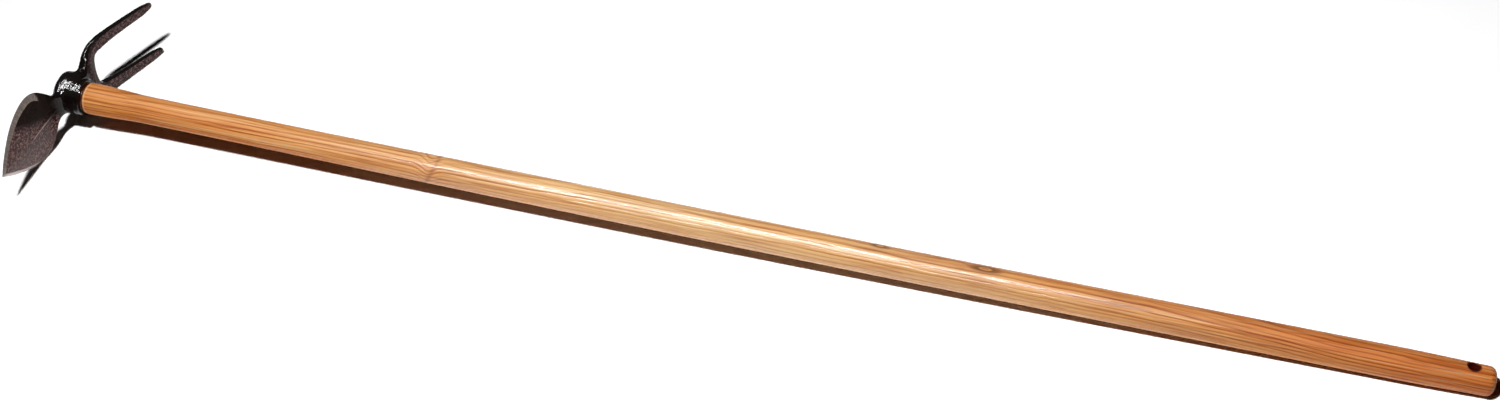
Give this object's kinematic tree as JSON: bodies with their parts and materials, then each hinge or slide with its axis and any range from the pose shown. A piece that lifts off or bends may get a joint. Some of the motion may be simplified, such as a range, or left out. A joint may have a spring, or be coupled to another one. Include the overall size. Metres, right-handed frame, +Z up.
{
  "type": "combination hoe",
  "caption": "Long handled combination hoe: one forged head with a leaf blade opposite a fork of leaning tines, on a turned ash handle with a hanging hole.",
  "frame": {"origin": "centre of the bounding box in plan, on the floor that the tool lies on", "axes": "+X runs along the handle from the head to the grip, +Z is up, the leaf blade points to -Y and the fork to +Y"},
  "size_m": [1.4102, 0.2494, 0.0821],
  "materials": {
    "forged_steel": "black lacquer over forging scale, ground bare along the blade's cutting edges",
    "ash_wood": "clear lacquered straight grained ash",
    "wedge_wood": "bare hardwood",
    "wedge_steel": "bare mild steel"
  },
  "bodies": {
    "root": {"head": "forged_steel", "handle": "ash_wood", "wood_wedge": "wedge_wood", "steel_wedge": "wedge_steel"}
  },
  "joints": []
}
